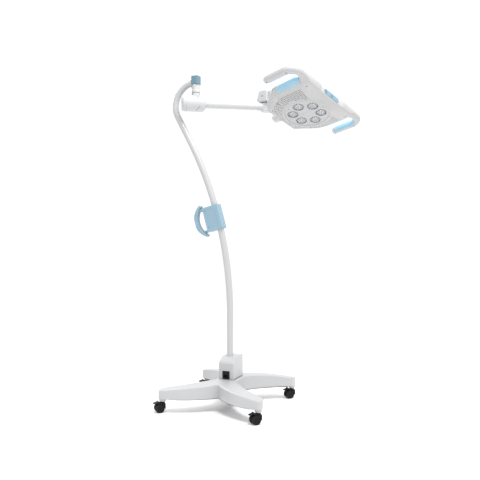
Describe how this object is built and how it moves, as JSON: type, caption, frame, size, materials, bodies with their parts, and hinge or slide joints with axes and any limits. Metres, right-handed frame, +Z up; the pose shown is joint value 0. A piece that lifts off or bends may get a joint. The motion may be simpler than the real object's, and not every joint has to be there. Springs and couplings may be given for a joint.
{
  "type": "surgical light",
  "caption": "Mobile surgical light: castored base with mains housing, curved pole with push handle, swivelling arm and tilting multi-lamp head with hand rails.",
  "frame": {"origin": "on the floor, under the foot of the pole, midway between the castors", "axes": "+Z up, the mains inlet faces -Y, and the pole leans towards -X with the arm and head reaching back over +X"},
  "size_m": [1.0535, 0.8002, 1.9193],
  "materials": {
    "white_enamel": "satin",
    "underplate": "matte",
    "white_coat": "satin",
    "shell_white": "satin",
    "shell_grey": "satin",
    "grille_grey": "matte",
    "grip_blue": "satin",
    "button_blue": "satin",
    "handle_blue": "satin",
    "cap_blue": "satin",
    "black_plastic": "satin",
    "castor_tyre": "matte",
    "steel": "satin",
    "dark_screw": "satin",
    "chrome_cup": "polished",
    "lens_clear": "gloss",
    "circuit_board": "satin",
    "led_yellow": "satin",
    "sink_metal": "matte",
    "supply_case": "matte"
  },
  "bodies": {
    "stand": {"base_casting": "white_enamel", "base_underplate": "underplate", "castor_stems": "steel", "mains_housing": "white_enamel", "mains_inlet": "black_plastic", "power_supply": "supply_case", "pole_socket": "steel", "pole_lower": "white_enamel", "pole_upper": "white_enamel", "handle_clamp": "handle_blue", "handle_grip": "handle_blue", "handle_screws": "steel", "mast_head": "white_coat", "mast_cap": "cap_blue", "arm_spigot": "steel", "swivel_washer": "black_plastic"},
    "castor_fl": {"castor_fork_fl": "black_plastic"},
    "wheels_fl": {"castor_wheels_fl": "castor_tyre"},
    "brake_fl": {"castor_brake_fl": "black_plastic"},
    "castor_fr": {"castor_fork_fr": "black_plastic"},
    "wheels_fr": {"castor_wheels_fr": "castor_tyre"},
    "brake_fr": {"castor_brake_fr": "black_plastic"},
    "castor_br": {"castor_fork_br": "black_plastic"},
    "wheels_br": {"castor_wheels_br": "castor_tyre"},
    "brake_br": {"castor_brake_br": "black_plastic"},
    "castor_bl": {"castor_fork_bl": "black_plastic"},
    "wheels_bl": {"castor_wheels_bl": "castor_tyre"},
    "brake_bl": {"castor_brake_bl": "black_plastic"},
    "swivel": {"swivel_block": "white_coat"},
    "arm": {"arm_pivot_pin": "steel", "arm_drum": "white_coat", "drum_cap": "white_coat", "arm_tube": "white_coat", "arm_end_hub": "white_coat"},
    "knuckle": {"knuckle": "white_coat", "yaw_pin": "steel", "yaw_washer": "black_plastic", "pitch_pin": "steel"},
    "neck": {"neck": "white_coat"},
    "head": {"roll_shaft": "steel", "head_lower_shell": "shell_grey", "head_upper_shell": "shell_white", "vent_grille": "grille_grey", "lamp_panel": "shell_grey", "reflectors": "chrome_cup", "lens_covers": "lens_clear", "led_board": "circuit_board", "led_chips": "led_yellow", "heat_sink": "sink_metal", "driver_board": "circuit_board", "grip_pad_left": "grip_blue", "grip_pad_right": "grip_blue", "rail_pad_left": "grip_blue", "rail_pad_right": "grip_blue", "switch_pad": "grip_blue", "head_screws": "dark_screw"},
    "power_button": {"power_button": "button_blue"},
    "dimmer_button": {"dimmer_button": "button_blue"}
  },
  "joints": [
    {"name": "castor_swivel_fl", "type": "hinge", "parent": "stand", "child": "castor_fl", "pos_m": [-0.283, -0.283, 0.058], "axis": [0, 0, 1], "continuous": true},
    {"name": "wheel_spin_fl", "type": "hinge", "parent": "castor_fl", "child": "wheels_fl", "pos_m": [-0.29559, -0.29854, 0.025], "axis": [-0.7771, 0.6293, 0], "continuous": true},
    {"name": "brake_press_fl", "type": "hinge", "parent": "castor_fl", "child": "brake_fl", "pos_m": [-0.29936, -0.30321, 0.0586], "axis": [0.7771, -0.6293, 0], "range_deg": [0, 12]},
    {"name": "castor_swivel_fr", "type": "hinge", "parent": "stand", "child": "castor_fr", "pos_m": [0.283, -0.283, 0.058], "axis": [0, 0, 1], "continuous": true},
    {"name": "wheel_spin_fr", "type": "hinge", "parent": "castor_fr", "child": "wheels_fr", "pos_m": [0.27041, -0.29854, 0.025], "axis": [-0.7771, 0.6293, 0], "continuous": true},
    {"name": "brake_press_fr", "type": "hinge", "parent": "castor_fr", "child": "brake_fr", "pos_m": [0.26664, -0.30321, 0.0586], "axis": [0.7771, -0.6293, 0], "range_deg": [0, 12]},
    {"name": "castor_swivel_br", "type": "hinge", "parent": "stand", "child": "castor_br", "pos_m": [0.283, 0.283, 0.058], "axis": [0, 0, 1], "continuous": true},
    {"name": "wheel_spin_br", "type": "hinge", "parent": "castor_br", "child": "wheels_br", "pos_m": [0.27041, 0.26746, 0.025], "axis": [-0.7771, 0.6293, 0], "continuous": true},
    {"name": "brake_press_br", "type": "hinge", "parent": "castor_br", "child": "brake_br", "pos_m": [0.26664, 0.26279, 0.0586], "axis": [0.7771, -0.6293, 0], "range_deg": [0, 12]},
    {"name": "castor_swivel_bl", "type": "hinge", "parent": "stand", "child": "castor_bl", "pos_m": [-0.283, 0.283, 0.058], "axis": [0, 0, 1], "continuous": true},
    {"name": "wheel_spin_bl", "type": "hinge", "parent": "castor_bl", "child": "wheels_bl", "pos_m": [-0.29559, 0.26746, 0.025], "axis": [-0.7771, 0.6293, 0], "continuous": true},
    {"name": "brake_press_bl", "type": "hinge", "parent": "castor_bl", "child": "brake_bl", "pos_m": [-0.29936, 0.26279, 0.0586], "axis": [0.7771, -0.6293, 0], "range_deg": [0, 12]},
    {"name": "arm_swivel", "type": "hinge", "parent": "stand", "child": "swivel", "pos_m": [-0.22063, 0, 1.756], "axis": [0, 0, 1], "range_deg": [-180, 110]},
    {"name": "arm_tilt", "type": "hinge", "parent": "swivel", "child": "arm", "pos_m": [-0.22063, 0, 1.756], "axis": [-0.5736, 0.8192, 0], "range_deg": [-15, 28]},
    {"name": "head_yaw", "type": "hinge", "parent": "arm", "child": "knuckle", "pos_m": [0.1316, 0.24664, 1.756], "axis": [0, 0, 1], "range_deg": [-45, 150]},
    {"name": "head_pitch", "type": "hinge", "parent": "knuckle", "child": "neck", "pos_m": [0.1316, 0.24664, 1.819], "axis": [0.3223, 0.9466, 0], "range_deg": [-55, 25]},
    {"name": "head_roll", "type": "hinge", "parent": "neck", "child": "head", "pos_m": [0.21663, 0.21769, 1.68248], "axis": [0.9266, -0.3155, 0.2045], "range_deg": [-30, 60]},
    {"name": "power_press", "type": "slide", "parent": "head", "child": "power_button", "axis": [-0.9266, 0.3155, -0.2045], "range_m": [0, 0.001], "stiffness_N_per_m": 800},
    {"name": "dimmer_press", "type": "slide", "parent": "head", "child": "dimmer_button", "axis": [-0.9266, 0.3155, -0.2045], "range_m": [0, 0.001], "stiffness_N_per_m": 800}
  ]
}
